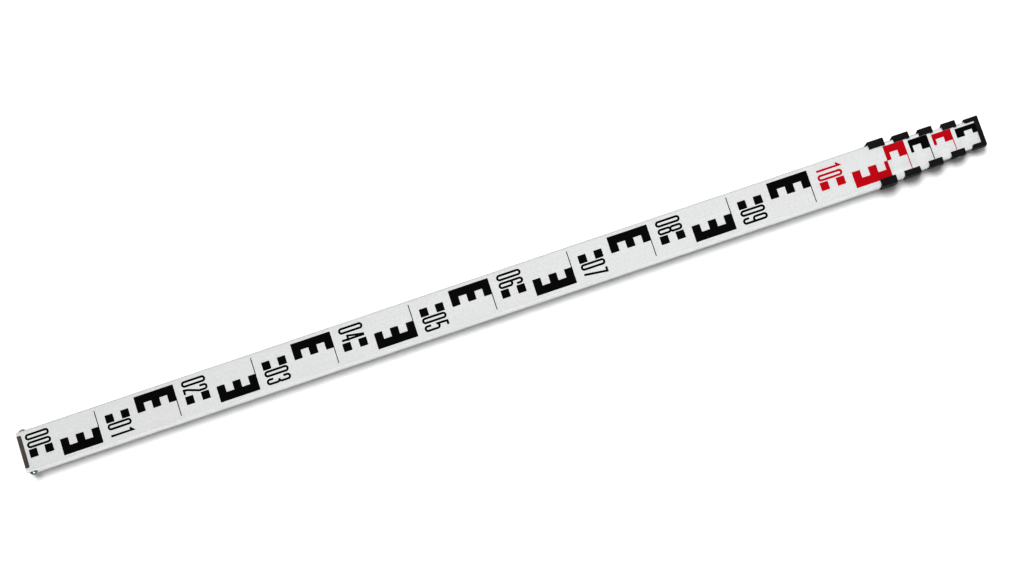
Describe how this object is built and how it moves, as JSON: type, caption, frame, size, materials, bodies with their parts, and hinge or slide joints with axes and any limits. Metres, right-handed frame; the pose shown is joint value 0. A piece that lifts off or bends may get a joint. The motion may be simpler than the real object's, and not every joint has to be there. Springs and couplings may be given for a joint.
{
  "type": "telescopic levelling staff",
  "caption": "Closed telescopic aluminium levelling staff: nested rectangular tubes with black end collars, spring lock buttons, a steel foot and a top cap.",
  "frame": {"origin": "centre of the foot's ground contact face, on the middle line of the tubes", "axes": "+X along the staff from the foot to the top cap, +Z out of the graduated front face, +Y across the face, to the left of someone who reads the upright staff"},
  "size_m": [1.2128, 0.0572, 0.032],
  "materials": {
    "anodised_aluminium": "satin anodised extrusion",
    "black_plastic": "moulded, light texture",
    "foot_steel": "dark oiled steel",
    "zinc": "bright zinc plate",
    "rivet_steel": "plain",
    "button_metal": "turned and nickel plated",
    "spring_steel": "drawn wire",
    "rubber": "matt",
    "grey_plastic": "moulded"
  },
  "bodies": {
    "section_1": {"section_1_tube": "anodised_aluminium", "foot_plate": "foot_steel", "foot_buffer": "rubber", "foot_screws": "zinc", "collar_1": "black_plastic", "collar_1_rivets": "rivet_steel"},
    "section_2": {"section_2_tube": "anodised_aluminium", "lock_block_2": "grey_plastic", "lock_block_2_pins": "rivet_steel", "lock_spring_2": "spring_steel", "collar_2": "black_plastic", "collar_2_rivets": "rivet_steel"},
    "section_3": {"section_3_tube": "anodised_aluminium", "lock_block_3": "grey_plastic", "lock_block_3_pins": "rivet_steel", "lock_spring_3": "spring_steel", "collar_3": "black_plastic", "collar_3_rivets": "rivet_steel"},
    "section_4": {"section_4_tube": "anodised_aluminium", "lock_block_4": "grey_plastic", "lock_block_4_pins": "rivet_steel", "lock_spring_4": "spring_steel", "collar_4": "black_plastic", "collar_4_rivets": "rivet_steel"},
    "section_5": {"section_5_tube": "anodised_aluminium", "lock_block_5": "grey_plastic", "lock_block_5_pins": "rivet_steel", "lock_spring_5": "spring_steel", "top_cap": "black_plastic", "top_cap_rivets": "rivet_steel"},
    "button_2": {"lock_button_2": "button_metal"},
    "button_3": {"lock_button_3": "button_metal"},
    "button_4": {"lock_button_4": "button_metal"},
    "button_5": {"lock_button_5": "button_metal"}
  },
  "joints": [
    {"name": "section_2_slide", "type": "slide", "parent": "section_1", "child": "section_2", "axis": [1, 0, 0], "range_m": [0, 0.8799]},
    {"name": "section_3_slide", "type": "slide", "parent": "section_2", "child": "section_3", "axis": [1, 0, 0], "range_m": [0, 0.9714]},
    {"name": "section_4_slide", "type": "slide", "parent": "section_3", "child": "section_4", "axis": [1, 0, 0], "range_m": [0, 0.9714]},
    {"name": "section_5_slide", "type": "slide", "parent": "section_4", "child": "section_5", "axis": [1, 0, 0], "range_m": [0, 0.9653]},
    {"name": "button_2_push", "type": "slide", "parent": "section_2", "child": "button_2", "axis": [0, 0, -1], "range_m": [0, 0.0024], "stiffness_N_per_m": 400, "springref_m": 0.004, "deforming": ["lock_spring_2"]},
    {"name": "button_3_push", "type": "slide", "parent": "section_3", "child": "button_3", "axis": [0, 0, -1], "range_m": [0, 0.0024], "stiffness_N_per_m": 400, "springref_m": 0.004, "deforming": ["lock_spring_3"]},
    {"name": "button_4_push", "type": "slide", "parent": "section_4", "child": "button_4", "axis": [0, 0, -1], "range_m": [0, 0.0024], "stiffness_N_per_m": 400, "springref_m": 0.004, "deforming": ["lock_spring_4"]},
    {"name": "button_5_push", "type": "slide", "parent": "section_5", "child": "button_5", "axis": [0, 0, -1], "range_m": [0, 0.0024], "stiffness_N_per_m": 400, "springref_m": 0.004, "deforming": ["lock_spring_5"]}
  ]
}
